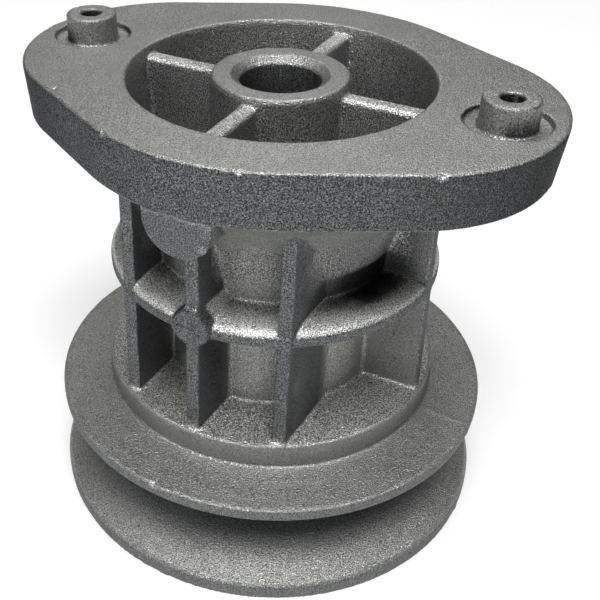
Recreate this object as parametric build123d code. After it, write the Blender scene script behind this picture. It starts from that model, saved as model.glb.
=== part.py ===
"""Mower blade holder: one aluminium die casting, standing on its belt pulley, blade seat on top.

+Z is the crankshaft axis, +X runs through the two pegs, and z = 0 is the pulley's bottom face.
Every size is in millimetres.
"""
import os
from math import cos, pi, radians, sin, sqrt, tan

from build123d import *

# Belt pulley at the foot
lower_rim_r = 35.9
lower_rim_h = 2.6
upper_rim_r = 35.35
upper_rim_h = 1.95
groove_mouth_w = 14.25    # between the two rims, at their edges
groove_angle = 38.0       # included angle of the V
groove_depth = 12.0
pulley_top_rise = 0.55    # rise of the pulley's top face from its rim to the step
rim_bevel = 0.5

# Round step on the pulley, and the barrel above it
step_r = 26.95
step_h = 4.1
step_bevel = 0.5
barrel_r = 17.0

# Trumpet flare from the barrel's throat out to the seat
throat_r = 18.8
flare_arc_r = 19.8        # bends out on this radius and ends as a 45 degree cone

flare_inset = 1.0         # the cone meets the seat this far inside its long sides

# Collar round the barrel, under the flare
collar_lip = 0.45         # reach past the ribs' outer edges
collar_h = 2.6
collar_bevel = 0.6

# Upright ribs
rib_inset = 1.6           # the ribs end this far inside the step's edge
rib_pitch = 12.7
rib_edge_t = 2.1
rib_root_t = 2.9
rib_bevel = 0.35

# Blade seat
total_h = 70.5            # height of the face the blade lies on
seat_t = 7.9
seat_mid_r = 30.5         # the two long sides bulge on this radius
seat_end_r = 22.05
seat_end_edge = 7.7       # from a peg's centre to the seat's end
seat_end_draft = 0.8      # the ends draw in by this much at the lower face
seat_bevel = 0.45

# Pegs that hold the blade
peg_pitch = 65.0
peg_r = 3.85
peg_h = 3.25
peg_bevel = 0.4
peg_hole_r = 1.6
peg_hole_depth = 5.0
recess_r = 5.8
recess_depth = 0.9

# Cored pocket with a hub and four spokes
pocket_r = 21.9
pocket_draft = 0.9        # drawn in by this much where the upright wall ends
pocket_wall_h = 12.4      # upright wall, from the seat face down
pocket_floor_rise = 2.3   # floor above the collar's top
throat_wall = 2.8         # metal between the pocket and the throat
pocket_bevel = 0.5
hub_r = 10.05
hub_bevel = 0.55
spoke_t = 2.9
spoke_drop = 1.3          # spoke tops lie this far below the seat face
spoke_bevel = 0.5

# Bolt hole, crankshaft bore and keyway
bolt_hole_r = 5.85
bolt_chamfer_w = 1.3
bolt_chamfer_h = 1.0
bore_r = 11.125
bore_web = 6.0            # metal between the bore's end and the pocket's floor
bore_chamfer = 0.8
key_w = 4.8
key_depth = 2.275         # keyway floor outside the bore's wall

# Ejector pads on the front
seat_pad_r = 5.2
seat_pad_x = 0.5
seat_pad_drop = 1.2       # centre below the seat's lower face
seat_pad_inset = 0.5      # face inside the seat's long side
collar_pad_r = 3.1
collar_pad_rise = 0.2     # face outside the collar's edge

# Heights and radii that follow from the sizes above
upper_rim_z = lower_rim_h + groove_mouth_w
pulley_edge_z = upper_rim_z + upper_rim_h
step_foot_z = pulley_edge_z + pulley_top_rise
step_z = step_foot_z + step_h
rib_reach = step_r - rib_inset
collar_r = rib_reach + collar_lip
seat_z = total_h - seat_t
flare_r = seat_mid_r - flare_inset
cone_r = throat_r + flare_arc_r * (1 - cos(pi / 4))
cone_z = seat_z - (flare_r - cone_r)
collar_top_z = cone_z - flare_arc_r * sin(pi / 4)
collar_z = collar_top_z - collar_h
pocket_floor_z = collar_top_z + pocket_floor_rise
pocket_throat_r = throat_r - throat_wall
bore_depth = pocket_floor_z - bore_web
peg_x = peg_pitch / 2
seat_end_x = peg_x + seat_end_edge - seat_end_r


def turned(lines, bevels=()):
    """A solid turned round +Z from lines in (radius, z), with bevelled corners (radius, z, size)."""
    face = make_face(lines)
    for r, z, size in bevels:
        face = chamfer(face.vertices().sort_by_distance((r, z, 0))[0], size)
    return revolve(Plane.XZ * face, Axis.Z)


# Pulley, step, barrel, collar and flare as one turned body
groove_drop = groove_depth * tan(radians(groove_angle / 2))
groove_r = lower_rim_r - groove_depth
body = turned(
    [
        Polyline(
        (0, 0),
        (lower_rim_r, 0),
        (lower_rim_r, lower_rim_h),
        (groove_r, lower_rim_h + groove_drop),
        (groove_r, upper_rim_z - groove_drop),
        (upper_rim_r, upper_rim_z),
        (upper_rim_r, pulley_edge_z),
        (step_r, step_foot_z),
        (step_r, step_z),
        (barrel_r, step_z),
        (barrel_r, collar_z),
        (collar_r, collar_z),
        (collar_r, collar_top_z),
        (throat_r, collar_top_z)),
        RadiusArc((throat_r, collar_top_z), (cone_r, cone_z), flare_arc_r),
        Polyline((cone_r, cone_z), (flare_r, seat_z), (flare_r, seat_z + 2), (0, seat_z + 2), (0, 0)),
    ],
    [
        (lower_rim_r, lower_rim_h, rim_bevel),
        (upper_rim_r, pulley_edge_z, rim_bevel),
        (step_r, step_z, step_bevel),
        (collar_r, collar_top_z, collar_bevel),
    ],
)


def seat_outline(end_x, z):
    """The lens-shaped plate outline: a middle circle and two end circles, wrapped by tangent lines."""
    lean = (seat_mid_r - seat_end_r) / end_x
    rise = sqrt(1 - lean * lean)
    corners = [
        (sx * (c + r * lean), sy * r * rise)
        for sx, sy, c, r in (
            (1, -1, 0, seat_mid_r), (1, -1, end_x, seat_end_r), (1, 1, end_x, seat_end_r), (1, 1, 0, seat_mid_r),
            (-1, 1, 0, seat_mid_r), (-1, 1, end_x, seat_end_r), (-1, -1, end_x, seat_end_r), (-1, -1, 0, seat_mid_r),
        )
    ]
    tips = [(end_x + seat_end_r, 0), (0, seat_mid_r), (-end_x - seat_end_r, 0), (0, -seat_mid_r)]
    edges = []
    for i, tip in enumerate(tips):
        edges.append(Line(corners[2 * i], corners[2 * i + 1]))
        edges.append(ThreePointArc(corners[2 * i + 1], tip, corners[(2 * i + 2) % 8]))
    return Pos(0, 0, z) * make_face(edges)


# Blade seat: lens-shaped plate, drawn in a little at the ends of its lower face
seat = loft([seat_outline(seat_end_x - seat_end_draft, seat_z), seat_outline(seat_end_x, total_h)])
rims = seat.edges().group_by(Axis.Z)
seat = chamfer(rims[0] + rims[-1], seat_bevel)
body += seat


def rib(offset, turn):
    """One upright rib across the casting, thinner at its two outer edges, turned about +Z."""
    reach = sqrt(rib_reach**2 - offset**2)
    root = barrel_r * 0.7
    plan = make_face(Polyline(
        (offset - rib_edge_t / 2, -reach), (offset + rib_edge_t / 2, -reach),
        (offset + rib_root_t / 2, -root), (offset + rib_root_t / 2, root),
        (offset + rib_edge_t / 2, reach), (offset - rib_edge_t / 2, reach),
        (offset - rib_root_t / 2, root), (offset - rib_root_t / 2, -root),
        close=True,
    ))
    plan = chamfer(plan.vertices().group_by(Axis.Y)[0] + plan.vertices().group_by(Axis.Y)[-1], rib_bevel)
    top = cone_z + rib_reach - cone_r + 1
    return Rot(0, 0, turn) * Pos(0, 0, step_z - 0.5) * extrude(plan, top - step_z + 0.5)


# Ribs: three across the front and back, one towards each peg, with rounded roots on the barrel
body += [rib(-rib_pitch, 0), rib(0, 0), rib(rib_pitch, 0), rib(0, 90)]


def pad(x, y, z, r):
    """A round pad facing -Y whose root lies inside the casting."""
    length = y - barrel_r * 0.8
    return Pos(x, -y + length / 2, z) * Rot(90, 0, 0) * Cylinder(r, length)


# Ejector pads
body += [
    pad(seat_pad_x, seat_mid_r - seat_pad_inset, seat_z - seat_pad_drop, seat_pad_r),
    pad(0, collar_r + collar_pad_rise, collar_z + collar_h / 2, collar_pad_r),
]

# Cored pocket, leaving the hub and the spokes
pocket = turned(
    [Polyline(
        (hub_r - hub_bevel, total_h + 1),
        (hub_r - hub_bevel, total_h),
        (hub_r, total_h - hub_bevel),
        (hub_r, pocket_floor_z),
        (pocket_throat_r, pocket_floor_z),
        (pocket_r - pocket_draft, total_h - pocket_wall_h),
        (pocket_r, total_h - pocket_bevel),
        (pocket_r + pocket_bevel, total_h),
        (pocket_r + pocket_bevel, total_h + 1),
        close=True,
    )],
)
spoke = extrude(Rectangle(4 * pocket_r, spoke_t), total_h - spoke_drop)
spoke = chamfer(spoke.edges().filter_by(Axis.X).group_by(Axis.Z)[-1], spoke_bevel)
body -= pocket - [spoke, Rot(0, 0, 90) * spoke]

# Pegs in their shallow recesses
for side in (-1, 1):
    at = Pos(side * peg_x, 0, total_h)
    body -= at * Pos(0, 0, -recess_depth) * extrude(Circle(recess_r), recess_depth + 1)
    peg = turned(
        [Polyline((0, -recess_depth - 0.5), (peg_r, -recess_depth - 0.5), (peg_r, peg_h), (0, peg_h), close=True)],
        [(peg_r, peg_h, peg_bevel)],
    )
    body += at * peg
    body -= at * Pos(0, 0, peg_h - peg_hole_depth) * extrude(Circle(peg_hole_r), peg_hole_depth + 1)

# Bolt hole from the seat, crankshaft bore with keyway from below
body -= turned([Polyline(
    (0, -1), (bore_r + bore_chamfer + 1, -1), (bore_r, bore_chamfer), (bore_r, bore_depth), (bolt_hole_r, bore_depth),
    (bolt_hole_r, total_h - bolt_chamfer_h), (bolt_hole_r + bolt_chamfer_w, total_h),
    (bolt_hole_r + bolt_chamfer_w, total_h + 1), (0, total_h + 1), close=True,
)])
key_reach = bore_r + key_depth
body -= Pos(0, 0, -1) * extrude(Pos(key_reach / 2, 0) * Rectangle(key_reach, key_w), bore_depth + 1)

os.makedirs("parts", exist_ok=True)
export_step(body, "parts/blade_holder.step")
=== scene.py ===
from math import copysign, cos, pi, radians, sin, sqrt

import bmesh
import bpy
import numpy as np
from mathutils import Matrix, Vector


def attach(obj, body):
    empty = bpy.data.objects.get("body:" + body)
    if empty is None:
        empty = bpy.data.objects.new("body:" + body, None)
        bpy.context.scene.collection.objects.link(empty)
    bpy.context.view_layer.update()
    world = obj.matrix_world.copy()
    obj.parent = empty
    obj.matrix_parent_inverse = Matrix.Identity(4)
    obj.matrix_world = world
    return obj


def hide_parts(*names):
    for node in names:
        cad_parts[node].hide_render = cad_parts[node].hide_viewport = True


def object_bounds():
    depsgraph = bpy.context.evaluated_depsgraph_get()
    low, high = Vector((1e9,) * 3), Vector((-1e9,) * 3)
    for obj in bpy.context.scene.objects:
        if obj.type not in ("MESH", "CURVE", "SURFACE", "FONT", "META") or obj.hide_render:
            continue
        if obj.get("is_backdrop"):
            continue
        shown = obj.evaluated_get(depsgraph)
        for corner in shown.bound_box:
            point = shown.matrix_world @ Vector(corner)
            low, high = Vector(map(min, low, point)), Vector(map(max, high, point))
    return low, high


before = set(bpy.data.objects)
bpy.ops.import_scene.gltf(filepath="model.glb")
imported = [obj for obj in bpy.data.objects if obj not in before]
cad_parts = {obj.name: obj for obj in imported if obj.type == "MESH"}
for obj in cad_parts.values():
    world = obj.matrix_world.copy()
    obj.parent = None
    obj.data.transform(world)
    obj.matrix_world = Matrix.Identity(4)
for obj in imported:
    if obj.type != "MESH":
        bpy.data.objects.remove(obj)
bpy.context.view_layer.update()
scene = bpy.context.scene
scene.view_settings.view_transform = "Standard"

# The studio. The casting stands on its pulley on a plain pale table, seen from its front right and
# a little above. One wide soft lamp hangs high over its front, a weaker one stands low at the front
# left, and one behind lifts the level faces. The table looks white, also in the metal.
azimuth, elevation = radians(29.29), radians(35.57)
camera_distance = 0.15528
aim_height, aim_left, aim_down = 0.035, 0.00861, 0.00337
picture_px, focal_px, centre_px = 600, 950.07, 220
sensor_mm = 36
table_half, table_grey, table_glow = 3, 0.82, 0.22
lamp_height, lamp_distance, lamp_width, lamp_length = 0.04, 0.9, 0.5, 0.4
air_brightness = 0.1

back = Vector((sin(azimuth) * cos(elevation), -cos(azimuth) * cos(elevation), sin(elevation)))
right = Vector((cos(azimuth), sin(azimuth), 0))
rise = back.cross(right)
aim = Vector((0, 0, aim_height)) - aim_left * right - aim_down * rise
photo_lens = bpy.data.cameras.new("photo_camera")
photo_lens.sensor_width = sensor_mm
photo_lens.lens = focal_px / picture_px * sensor_mm
photo_lens.shift_x = (picture_px / 2 - centre_px) / picture_px
photo_lens.clip_start = 0.01
photo_lens.clip_end = 20
camera = bpy.data.objects.new("photo_camera", photo_lens)
turned = Matrix((right, rise, back)).transposed().to_4x4()
camera.matrix_world = Matrix.Translation(aim + camera_distance * back) @ turned
scene.collection.objects.link(camera)
scene.camera = camera

table_mesh = bpy.data.meshes.new("table_top")
table_corners = [(x * table_half, y * table_half, 0) for x, y in ((-1, -1), (1, -1), (1, 1), (-1, 1))]
table_mesh.from_pydata(table_corners, [], [(0, 1, 2, 3)])
table_top = bpy.data.objects.new("table_top", table_mesh)
table_white = bpy.data.materials.new("table_white")
table_white.use_nodes = True
table_nodes, table_links = table_white.node_tree.nodes, table_white.node_tree.links
table_shader = table_nodes["Principled BSDF"]
table_shader.inputs["Base Color"].default_value = (table_grey, table_grey, table_grey, 1)
table_shader.inputs["Roughness"].default_value = 0.9
table_shader.inputs["Emission Color"].default_value = (1, 1, 1, 1)
rays = table_nodes.new("ShaderNodeLightPath")
seen = rays.outputs["Is Camera Ray"]
for ray in ("Is Glossy Ray", "Is Transmission Ray"):
    either = table_nodes.new("ShaderNodeMath")
    either.operation = "MAXIMUM"
    table_links.new(seen, either.inputs[0])
    table_links.new(rays.outputs[ray], either.inputs[1])
    seen = either.outputs[0]
glow = table_nodes.new("ShaderNodeMath")
glow.operation = "MULTIPLY"
glow.inputs[1].default_value = table_glow
table_links.new(seen, glow.inputs[0])
table_links.new(glow.outputs[0], table_shader.inputs["Emission Strength"])
table_mesh.materials.append(table_white)
scene.collection.objects.link(table_top)
table_top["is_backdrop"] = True


def softbox(name, turn, height, power):
    """A rectangular lamp facing the casting, turned from the front by an angle, at an angle of height."""
    turn, height = radians(turn), radians(height)
    place = lamp_distance * Vector((sin(turn) * cos(height), -cos(turn) * cos(height), sin(height)))
    light = bpy.data.lights.new(name, "AREA")
    light.shape = "RECTANGLE"
    light.size, light.size_y = lamp_width, lamp_length
    light.energy = power
    lamp = bpy.data.objects.new(name, light)
    lamp.location = place + Vector((0, 0, lamp_height))
    lamp.rotation_euler = place.to_track_quat("Z", "Y").to_euler()
    scene.collection.objects.link(lamp)


softbox("high_front_lamp", 31, 66, 7.6)
softbox("low_left_lamp", -25, 35, 1.25)
softbox("rear_lamp", 210, 60, 2.3)
world = bpy.data.worlds.new("studio_air")
world.use_nodes = True
world.node_tree.nodes["Background"].inputs["Color"].default_value = (1, 1, 1, 1)
world.node_tree.nodes["Background"].inputs["Strength"].default_value = air_brightness
scene.world = world

# The blade holder: one aluminium die casting. Its skin is the exact form drawn again as cast metal,
# with its edges and roots a little rounded, a slight waviness, the die's parting line on both rims,
# and a few knocks on the edges.
seat_face, seat_foot = 0.0705, 0.0626          # the blade seat's upper and lower faces
seat_mid_r, seat_end_r, seat_end_x = 0.0305, 0.02205, 0.01815
seat_end_draft = 0.0008
collar_mid = 0.0424                            # half way up the collar
rib_reach, rib_pitch, rib_edge = 0.02535, 0.0127, 0.0021
peg_x = 0.0325
mesh_pitch = 0.00023                           # size of the skin's faces before it is thinned
skin_triangles = 190000
ring_points = 240

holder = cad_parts["blade_holder"]
blank = bmesh.new()
blank.from_mesh(holder.data)
bmesh.ops.remove_doubles(blank, verts=blank.verts, dist=1e-6)

# The ribs' outer edges lean out towards their feet, so that the die draws off: (height, reach added)
lean = ((0.0232, 0.00085), (collar_mid, 0.00045), (0.0600, 0.00015))
overlap = 0.001
rib_places = [(turn, offset) for turn in (0, 180) for offset in (-rib_pitch, 0, rib_pitch)]
for turn, offset in rib_places + [(90, 0), (270, 0)]:
    reach = sqrt(rib_reach**2 - offset**2)
    place = Matrix.Rotation(radians(turn), 4, "Z")
    rings = []
    for height, extra in lean:
        corners = ((-1, reach - overlap), (-1, reach + extra), (1, reach + extra), (1, reach - overlap))
        rings.append([
            blank.verts.new(place @ Vector((offset + side * rib_edge / 2, -out, height)))
            for side, out in corners
        ])
    for lower, upper in zip(rings, rings[1:]):
        for i in range(4):
            blank.faces.new((lower[i], lower[(i + 1) % 4], upper[(i + 1) % 4], upper[i]))
    blank.faces.new(reversed(rings[0]))
    blank.faces.new(rings[-1])


def crisp_ring(*rows):
    """A square ring let into the blank for a sharper corner, from rows of (outline, height)."""
    rows = [[blank.verts.new((x, y, height)) for x, y in outline] for outline, height in rows]
    for row, after in zip(rows, rows[1:] + rows[:1]):
        for i in range(len(row)):
            blank.faces.new((row[i], row[i - 1], after[i - 1], after[i]))


def seat_line(inset, height):
    """The seat's outline, drawn in by an inset. Its ends also draw in towards the lower face."""
    middle, end = seat_mid_r - inset, seat_end_r - inset
    end_x = seat_end_x - seat_end_draft * (seat_face - height) / (seat_face - seat_foot)
    end_starts = (middle - end) / end_x
    outline = []
    for i in range(ring_points):
        turn = 2 * pi * (i + 0.5) / ring_points
        at_end = abs(cos(turn)) > end_starts
        radius = end if at_end else middle
        centre = copysign(end_x, cos(turn)) if at_end else 0
        outline.append((centre + radius * cos(turn), radius * sin(turn)))
    return outline


def circle(radius, x):
    """A circle's outline round a point on the x axis."""
    turns = [2 * pi * i / ring_points for i in range(ring_points)]
    return [(x + radius * cos(turn), radius * sin(turn)) for turn in turns]


# The seat's two rims: (lower height, upper height, inset)
for low, high, inset in ((0.0665, seat_face, 0.0001), (seat_foot, 0.0645, 0.0)):
    outer_rows = [(seat_line(inset, height), height) for height in (low, high)]
    inner_rows = [(seat_line(0.002, height), height) for height in (high, low)]
    crisp_ring(*outer_rows, *inner_rows)

# The round rims: (outer radius, inner radius, lower height, upper height, place in x)
for radius, bore, low, high, x in (
    (0.0232, 0.0220, 0.0692, seat_face, 0),      # mouth of the cored pocket
    (0.00985, 0.0076, 0.0690, seat_face, 0),     # hub
    (0.0269, 0.0255, 0.0210, 0.02342, 0),        # step
    (0.0353, 0.0338, 0.0170, 0.0188, 0),         # pulley's upper rim
    (0.00378, 0.00175, 0.0725, 0.07372, -peg_x),
    (0.00378, 0.00175, 0.0725, 0.07372, peg_x),
):
    outer, inner = circle(radius, x), circle(bore, x)
    crisp_ring((outer, low), (outer, high), (inner, high), (inner, low))
bmesh.ops.recalc_face_normals(blank, faces=blank.faces)
casting_mesh = bpy.data.meshes.new("holder_casting")
blank.to_mesh(casting_mesh)
blank.free()
casting = bpy.data.objects.new("holder_casting", casting_mesh)
scene.collection.objects.link(casting)

remesh = casting.modifiers.new("even_mesh", "REMESH")
remesh.mode = "VOXEL"
remesh.voxel_size = mesh_pitch

relief = bpy.data.node_groups.new("casting_relief", "GeometryNodeTree")
relief.is_modifier = True
relief.interface.new_socket(name="Geometry", in_out="INPUT", socket_type="NodeSocketGeometry")
relief.interface.new_socket(name="Geometry", in_out="OUTPUT", socket_type="NodeSocketGeometry")
for name, kind, low, high, value in (
    ("Edge Rounding", "NodeSocketInt", 0, 100, 1),
    ("Root Rounding", "NodeSocketInt", 0, 200, 9),
    ("Collar Crown", "NodeSocketFloat", 0, 0.002, 0.0006),
    ("Waviness", "NodeSocketFloat", 0, 0.001, 0.00006),
    ("Wave Size", "NodeSocketFloat", 0.001, 0.1, 0.011),
    ("Parting Ridge", "NodeSocketFloat", 0, 0.001, 0.00008),
    ("Ridge Width", "NodeSocketFloat", 0.0001, 0.01, 0.0007),
    ("Seed", "NodeSocketInt", 0, 1000, 7),
):
    socket = relief.interface.new_socket(name=name, in_out="INPUT", socket_type=kind)
    socket.min_value, socket.max_value, socket.default_value = low, high, value


def relief_node(kind, **settings):
    """A node of the relief tree with its settings."""
    node = relief.nodes.new(kind)
    for name, value in settings.items():
        setattr(node, name, value)
    return node


def relief_math(operation, *values):
    """A sum node of the relief tree, fed by sockets or numbers."""
    node = relief_node("ShaderNodeMath", operation=operation)
    for i, value in enumerate(values):
        if isinstance(value, (int, float)):
            node.inputs[i].default_value = value
        else:
            relief.links.new(value, node.inputs[i])
    return node.outputs[0]


def relief_product(*values):
    """Several values of the relief tree multiplied together."""
    product = values[0]
    for value in values[1:]:
        product = relief_math("MULTIPLY", product, value)
    return product


def relief_vector(operation, a, b):
    """A vector sum node of the relief tree."""
    node = relief_node("ShaderNodeVectorMath", operation=operation)
    relief.links.new(a, node.inputs[0])
    relief.links.new(b, node.inputs["Scale" if operation == "SCALE" else 1])
    return node.outputs["Value" if operation == "DOT_PRODUCT" else 0]


def relief_ramp(value, low, high):
    """Nothing below low, one above high, with a soft rise between."""
    node = relief_node("ShaderNodeMapRange", interpolation_type="SMOOTHSTEP")
    relief.links.new(value, node.inputs["Value"])
    node.inputs["From Min"].default_value = low
    node.inputs["From Max"].default_value = high
    return node.outputs["Result"]


def relief_fade(value, low, high):
    """One below low, nothing above high, with a soft fall between."""
    return relief_math("SUBTRACT", 1, relief_ramp(value, low, high))


def averaged(value, kind, steps, weight=None):
    """The value blurred over the skin, as many steps as given."""
    node = relief_node("GeometryNodeBlurAttribute", data_type=kind)
    fitting = "VECTOR" if kind == "FLOAT_VECTOR" else "VALUE"
    relief.links.new(value, [s for s in node.inputs if s.type == fitting][0])
    for name, given_value in (("Iterations", steps), ("Weight", weight)):
        if isinstance(given_value, (int, float)):
            node.inputs[name].default_value = given_value
        elif given_value is not None:
            relief.links.new(given_value, node.inputs[name])
    return [s for s in node.outputs if s.type == fitting][0]


def moved(shape, place=None, offset=None):
    """The skin with its points set to a place or moved by an offset."""
    node = relief_node("GeometryNodeSetPosition")
    relief.links.new(shape, node.inputs["Geometry"])
    if place is not None:
        relief.links.new(place, node.inputs["Position"])
    if offset is not None:
        relief.links.new(offset, node.inputs["Offset"])
    return node.outputs[0]


given = relief_node("NodeGroupInput").outputs
skin = given["Geometry"]
position = relief_node("GeometryNodeInputPosition").outputs[0]
normal = relief_node("GeometryNodeInputNormal").outputs[0]
split = relief_node("ShaderNodeSeparateXYZ")
relief.links.new(position, split.inputs[0])
across, along, height = [split.outputs[axis] for axis in "XYZ"]

# The collar's top falls away over its outer part
crown_start, crown_width = 0.0222, 0.0036
squares = relief_math("ADD", relief_math("POWER", across, 2), relief_math("POWER", along, 2))
past_start = relief_math("SUBTRACT", relief_math("SQRT", squares), crown_start)
fall = relief_math("MAXIMUM", relief_math("DIVIDE", past_start, crown_width), 0)
on_collar = relief_product(relief_ramp(height, 0.0412, 0.0431), relief_fade(height, 0.0440, 0.0460))
crown = relief_math("MULTIPLY", given["Collar Crown"], -1)
drop = relief_node("ShaderNodeCombineXYZ")
relief.links.new(relief_product(relief_math("POWER", fall, 2), on_collar, crown), drop.inputs["Z"])
skin = moved(skin, offset=drop.outputs[0])

# Edges are a little rounded everywhere, and roots more, between the step's top and the seat
skin = moved(skin, place=averaged(position, "FLOAT_VECTOR", given["Edge Rounding"]))
outwards = relief_vector("SUBTRACT", position, averaged(position, "FLOAT_VECTOR", 8))
hollow = relief_math("MULTIPLY", relief_vector("DOT_PRODUCT", outwards, normal), -1)
root = relief_ramp(averaged(relief_ramp(hollow, 0.00002, 0.00008), "FLOAT", 3), 0.05, 0.5)
root = relief_product(root, relief_fade(height, 0.0685, 0.0695), relief_ramp(height, 0.0212, 0.0222))
skin = moved(skin, place=averaged(position, "FLOAT_VECTOR", given["Root Rounding"], root))

# Waviness, and the parting line's ridge on both rims
ridge_from = 0.0262
waves = relief_node("ShaderNodeTexNoise", noise_dimensions="4D")
relief.links.new(position, waves.inputs["Vector"])
relief.links.new(relief_math("DIVIDE", 1, given["Wave Size"]), waves.inputs["Scale"])
relief.links.new(given["Seed"], waves.inputs["W"])
waves.inputs["Detail"].default_value = 2
wave = relief_product(relief_math("SUBTRACT", waves.outputs["Fac"], 0.5), given["Waviness"])
from_line = relief_math("DIVIDE", relief_math("ABSOLUTE", along), given["Ridge Width"])
ridge = relief_math("MAXIMUM", relief_math("SUBTRACT", 1, from_line), 0)
on_rims = relief_math("GREATER_THAN", relief_math("ABSOLUTE", across), ridge_from)
ridge = relief_product(ridge, on_rims, given["Parting Ridge"])
skin = moved(skin, offset=relief_vector("SCALE", normal, relief_math("ADD", wave, ridge)))

whole = relief_node("GeometryNodeRealizeInstances")
relief.links.new(skin, whole.inputs[0])
coat = relief_node("GeometryNodeSetMaterial")
relief.links.new(whole.outputs[0], coat.inputs["Geometry"])
relief.links.new(coat.outputs[0], relief_node("NodeGroupOutput").inputs[0])

# The casting's finish: blasted to an even grey, with a fine grain of dark and bright points, painted
# glints among them, a few pits and a slight cloudiness. How bright and how grainy it is comes from values
# kept on the mesh, whose brightness is mostly painted light and shade by zone.
metal = bpy.data.materials.new("blasted_aluminium")
metal.use_nodes = True
coat.inputs["Material"].default_value = metal
nodes, links = metal.node_tree.nodes, metal.node_tree.links
shader = nodes["Principled BSDF"]
shader.inputs["Metallic"].default_value = 0.85
where = nodes.new("ShaderNodeTexCoord").outputs["Object"]


def noise(scale, detail, roughness=0.5):
    """A noise pattern through the metal, with scale in features per metre."""
    node = nodes.new("ShaderNodeTexNoise")
    node.inputs["Scale"].default_value = scale
    node.inputs["Detail"].default_value = detail
    node.inputs["Roughness"].default_value = roughness
    links.new(where, node.inputs["Vector"])
    return node.outputs["Fac"]


def spread(value, low, high, out_low, out_high):
    """The value moved from one range to another."""
    node = nodes.new("ShaderNodeMapRange")
    for name, number in (("From Min", low), ("From Max", high), ("To Min", out_low), ("To Max", out_high)):
        node.inputs[name].default_value = number
    links.new(value, node.inputs["Value"])
    return node.outputs["Result"]


def blend(factor, a, b):
    """A colour between the colours a and b."""
    node = nodes.new("ShaderNodeMix")
    node.data_type = "RGBA"
    links.new(factor, node.inputs["Factor"])
    node.inputs["A"].default_value = (*a, 1)
    node.inputs["B"].default_value = (*b, 1)
    return node.outputs["Result"]


def joined(operation, first, *others):
    """Values joined one after another by the same sum."""
    for other in others:
        node = nodes.new("ShaderNodeMath")
        node.operation = operation
        for socket, value in zip(node.inputs, (first, other)):
            if isinstance(value, (int, float)):
                socket.default_value = value
            else:
                links.new(value, socket)
        first = node.outputs[0]
    return first


def stored(name):
    """A value kept on the mesh."""
    node = nodes.new("ShaderNodeAttribute")
    node.attribute_name = name
    return node.outputs["Fac"]


brightness, graininess = stored("tone"), stored("sparkle")
grain = noise(5600, 0.6)
dimples = noise(2100, 1)
cloud = spread(noise(110, 4, 0.6), 0.3, 0.7, 0.36, 0.31)
pits = spread(noise(1500, 0), 0.745, 0.80, 1.0, 0.65)
# Painted glints: sparse bright specks added to the colour in place of glints of the lamps, a little
# smoother there too
painted_glint = spread(noise(6200, 0), 0.56, 0.76, 0, 1)
painted_glint = joined("MULTIPLY", painted_glint, painted_glint, graininess)
speckle = joined("MULTIPLY", spread(grain, 0.3, 0.7, -1.1, 1.3), graininess)
grey = joined("MAXIMUM", joined("ADD", speckle, 0.92), 0.42)
grey = joined("ADD", grey, joined("MULTIPLY", painted_glint, 1.6))
grey = joined("MULTIPLY", grey, brightness, cloud, pits)
# The zones painted darker also get a cooler colour, a painted cool reflection, and a duller specular tint,
# so their painted shade holds in the sheen too
cool, warm = (0.98, 1.0, 1.02), (1.0, 1.0, 0.972)
colour = nodes.new("ShaderNodeVectorMath")
colour.operation = "SCALE"
links.new(blend(spread(brightness, 0.4, 1.0, 0, 1), cool, warm), colour.inputs[0])
links.new(grey, colour.inputs["Scale"])
links.new(colour.outputs[0], shader.inputs["Base Color"])
dull_rim, bright_rim = (0.12, 0.12, 0.13), (0.85, 0.85, 0.85)
glancing = blend(spread(brightness, 0.2, 1.0, 0, 1), dull_rim, bright_rim)
links.new(glancing, shader.inputs["Specular Tint"])
roughness = joined("SUBTRACT", spread(grain, 0.3, 0.7, 0.42, 0.34), joined("MULTIPLY", painted_glint, 0.1))
links.new(roughness, shader.inputs["Roughness"])
bump = nodes.new("ShaderNodeBump")
bump.inputs["Strength"].default_value = 1
bump.inputs["Distance"].default_value = 0.00015
links.new(joined("ADD", grain, joined("MULTIPLY", dimples, 0.2)), bump.inputs["Height"])
links.new(bump.outputs["Normal"], shader.inputs["Normal"])


def baked(piece, name):
    """The piece's mesh as its modifiers leave it, in place of the old one, with the modifiers gone."""
    piece.update_tag()
    shape = bpy.data.meshes.new_from_object(piece.evaluated_get(bpy.context.evaluated_depsgraph_get()))
    piece.modifiers.clear()
    piece.data = shape
    shape.name = name
    return shape


def read_points(mesh, what):
    """The mesh's places ("co") or outward directions ("normal"), one row for each point."""
    rows = np.empty(len(mesh.vertices) * 3)
    mesh.vertices.foreach_get(what, rows)
    return rows.reshape(-1, 3)


dressed = casting.modifiers.new("casting_relief", "NODES")
dressed.node_group = relief
for item in relief.interface.items_tree:
    if item.in_out == "INPUT" and item.socket_type != "NodeSocketGeometry":
        dressed[item.identifier] = item.default_value
bpy.context.view_layer.update()
casting_mesh = baked(casting, "holder_casting")

# Knocks on the seat's top edge, the seat's pad and a rim: (place, size, depth). One is a raised lump
knocks = (
    ((-0.0245, -0.0202, seat_face), 0.0006, 0.00025),
    ((-0.0110, -0.0286, seat_face), 0.0008, 0.00035),
    ((0.0090, -0.0292, 0.0704), 0.0006, 0.00025),
    ((0.0240, -0.0220, seat_face), 0.0005, 0.0002),
    ((0.0300, -0.0185, seat_face), 0.0010, 0.00035),
    ((0.0044, -0.0299, 0.0586), 0.0011, -0.00025),
    ((-0.0034, -0.0292, 0.0582), 0.0009, 0.0003),
    ((-0.0015, -0.0353, 0.0187), 0.0009, 0.0003),
)
points = read_points(casting_mesh, "co")
outward = read_points(casting_mesh, "normal")
for place, size, depth in knocks:
    far = np.linalg.norm(points - np.array(place), axis=1) / size
    dent = np.clip(1 - far**2, 0, 1) ** 2 * depth
    points -= outward * dent[:, None]

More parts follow.
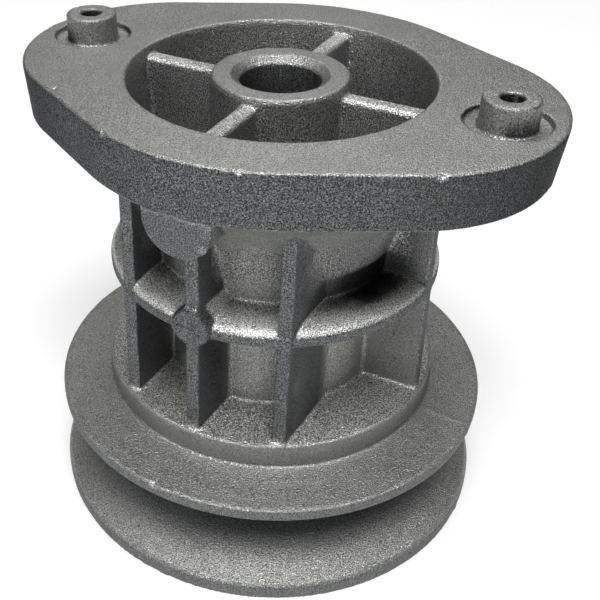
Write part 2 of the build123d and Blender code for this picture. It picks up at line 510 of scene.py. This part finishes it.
# The collar's pad stands out a little further, and the foot is flat
pad_r, pad_from_y, pad_rise = 0.0031, 0.0245, 0.00035
from_pad = np.hypot(points[:, 0], points[:, 2] - collar_mid)
points[:, 1] -= np.where((from_pad < pad_r) & (points[:, 1] < -pad_from_y), pad_rise, 0)
points[:, 2] = np.maximum(points[:, 2], 0)
casting_mesh.vertices.foreach_set("co", points.ravel())
casting_mesh.update()

thin = casting.modifiers.new("fewer_faces", "DECIMATE")
thin.ratio = skin_triangles / sum(len(p.vertices) - 2 for p in casting_mesh.polygons)
level = casting.modifiers.new("level_faces", "WEIGHTED_NORMAL")
level.weight = 80
casting_mesh.shade_smooth()
bpy.context.view_layer.update()
casting_mesh = baked(casting, "holder_casting")


def above(value, low, high):
    """Nothing below low, one above high, with a soft rise between."""
    part = np.clip((value - low) / (high - low), 0, 1)
    return part * part * (3 - 2 * part)


def below(value, low, high):
    """One below low, nothing above high, with a soft fall between."""
    return 1 - above(value, low, high)


def band(value, start, full, fade, end):
    """One between full and fade, nothing before start or after end."""
    return above(value, start, full) * below(value, fade, end)


# The skin's zones, each found from height, distance from the axis and the way that it faces
points = read_points(casting_mesh, "co")
x, y, z = points.T
nx, ny, nz = read_points(casting_mesh, "normal").T
r = np.hypot(x, y)
from_peg = np.hypot(np.abs(x) - peg_x, y)
upright = below(abs(nz), 0.35, 0.7)
facing_out = upright * above((nx * x + ny * y) / r, 0.1, 0.4) * above(r, 0.0236, 0.0246)

pocket = below(r, 0.0216, 0.0220) * band(z, 0.0470, 0.0480, 0.0690, 0.0700)
spoke_tops = above(nz, 0.5, 0.8) * band(z, 0.0680, 0.0686, 0.0693, 0.0697)
bolt_hole = below(r, 0.0060, 0.0064) * band(z, 0.0350, 0.0360, 0.0690, 0.0695)
peg_holes = below(from_peg, 0.0016, 0.0018) * band(z, 0.0660, 0.0665, 0.0732, 0.0736)
seat_top = above(nz, 0.9, 0.97) * above(z, 0.0700, 0.0704)
# The seat's top front is painted lighter, a painted highlight where the high lamp's reflection falls
seat_top_front = seat_top * above(-y, -0.020, 0.026) * above(x, -0.022, 0.010)
seat_side = facing_out * band(z, 0.0622, 0.0627, 0.0702, seat_face)
seat_ends = seat_side * above(np.abs(x), 0.020, 0.036)

rib_edges = facing_out * band(z, 0.0236, 0.0245, 0.0618, seat_foot)
cage = band(z, 0.0226, 0.0232, 0.0620, seat_foot) * below(r, 0.0262, 0.0268)
cage = cage * (1 - rib_edges) * (1 - pocket)
cage_floors = cage * above(nz, 0.3, 0.6)
rib_sides = cage * upright * above(abs(nx), 0.6, 0.85) * above(r, 0.0172, 0.0185)
side_ribs = above(np.abs(x), 0.0170, 0.0180) * below(np.abs(y), 0.0014, 0.0017)
side_ribs = side_ribs * band(z, 0.0236, 0.0240, 0.0618, 0.0624)
side_rib_tops = side_ribs * above(z, 0.0440, 0.0600)
# Painted shade: the front side bays by the cross ribs, between the collar and the seat, are made near
# black where the real casting lies in deep shade
painted_bay_shade = above(np.abs(x), 0.0125, 0.0185) * below(np.abs(y), 0.0095, 0.0150) * above(-y, -0.001, 0.003)
painted_bay_shade = painted_bay_shade * band(z, 0.0418, 0.0428, 0.0470, 0.0580) * below(r, 0.0215, 0.0250) * (1 - pocket)

# The collar's top gets a painted highlight where light passes the seat's edge, and its inner edge a
# painted shade under the seat
collar_top = cage_floors * band(z, 0.0415, 0.0425, 0.0455, 0.0465)
collar_inner = above(nz, 0.5, 0.7) * band(z, 0.0425, 0.0430, 0.0438, 0.0442) * below(r, 0.0206, 0.0228)
collar_pad = below(np.hypot(x, z - collar_mid), 0.0031, 0.0034) * above(-y, 0.0240, 0.0244)
step_side = band(z, 0.0196, 0.0200, 0.0229, 0.0234) * band(r, 0.0260, 0.0262, 0.0274, 0.0276)
rims = upright * above(r, 0.0346, 0.0352) * below(z, 0.0195, 0.0200)
# The groove under the pulley's upper rim gets a painted shade, where the rim overhangs it
groove = band(r, 0.0150, 0.0160, 0.0265, 0.0335) * below(z, 0.0120, 0.0150)

# How bright and how grainy each zone is; a later zone lies over the ones before it.
# Most of this brightness is painted light and shade. The cage and its floors are painted lighter, and the
# collar's top and the seat's top front carry a painted highlight. The rib sides, the side ribs' tops, the
# collar's inner edge, the groove under the upper rim, the pocket, the bolt hole and the peg holes are
# painted darker as shade. The upright outer faces of the seat, its ends, the ribs' edges, the collar's pad
# and the rims are darker partly as a rougher skin and partly as painted shade. The side bays get the
# darkest painted shade, where the real casting lies in deep shade.
tone, sparkle = np.ones(len(points)), np.full(len(points), 0.42)
for zone, bright, grainy in (
    (cage, 1.2, 0.5),
    (cage_floors, 1.25, 1.3),
    (collar_top, 2.4, 1.5),
    (collar_inner, 0.9, 1.4),
    (rib_sides, 0.5, 0.45),
    (side_ribs, 0.8, 0.3),
    (side_rib_tops, 0.4, 0.4),
    (painted_bay_shade, 0.08, 0.3),
    (rib_edges, 0.4, 0.95),
    (seat_side, 0.31, 1.0),
    (seat_ends, 0.23, 0.7),
    (rims, 0.55, 0.5),
    (collar_pad, 0.36, 0.8),
    (pocket, 0.84, 1.25),
    (spoke_tops, 1.5, 0.9),
    (seat_top, 1.1, 0.35),
    (seat_top_front, 1.4, 0.4),
    (groove, 0.42, 0.4),
    (step_side, 1.05, 0.25),
    (peg_holes, 0.2, 0.3),
    (bolt_hole, 0.4, 0.6),
):
    tone += (bright - tone) * zone
    sparkle += (grainy - sparkle) * zone
fresh_metal, lump = 1.3, 0.6
for place, size, depth in knocks:
    knocked = below(np.linalg.norm(points - np.array(place), axis=1), size / 2, size)
    tone += ((fresh_metal if depth > 0 else lump) - tone) * knocked
for name, values in (("tone", tone), ("sparkle", sparkle)):
    casting_mesh.attributes.new(name, "FLOAT", "POINT").data.foreach_set("value", values)
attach(casting, "root")
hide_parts("blade_holder")

low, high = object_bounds()
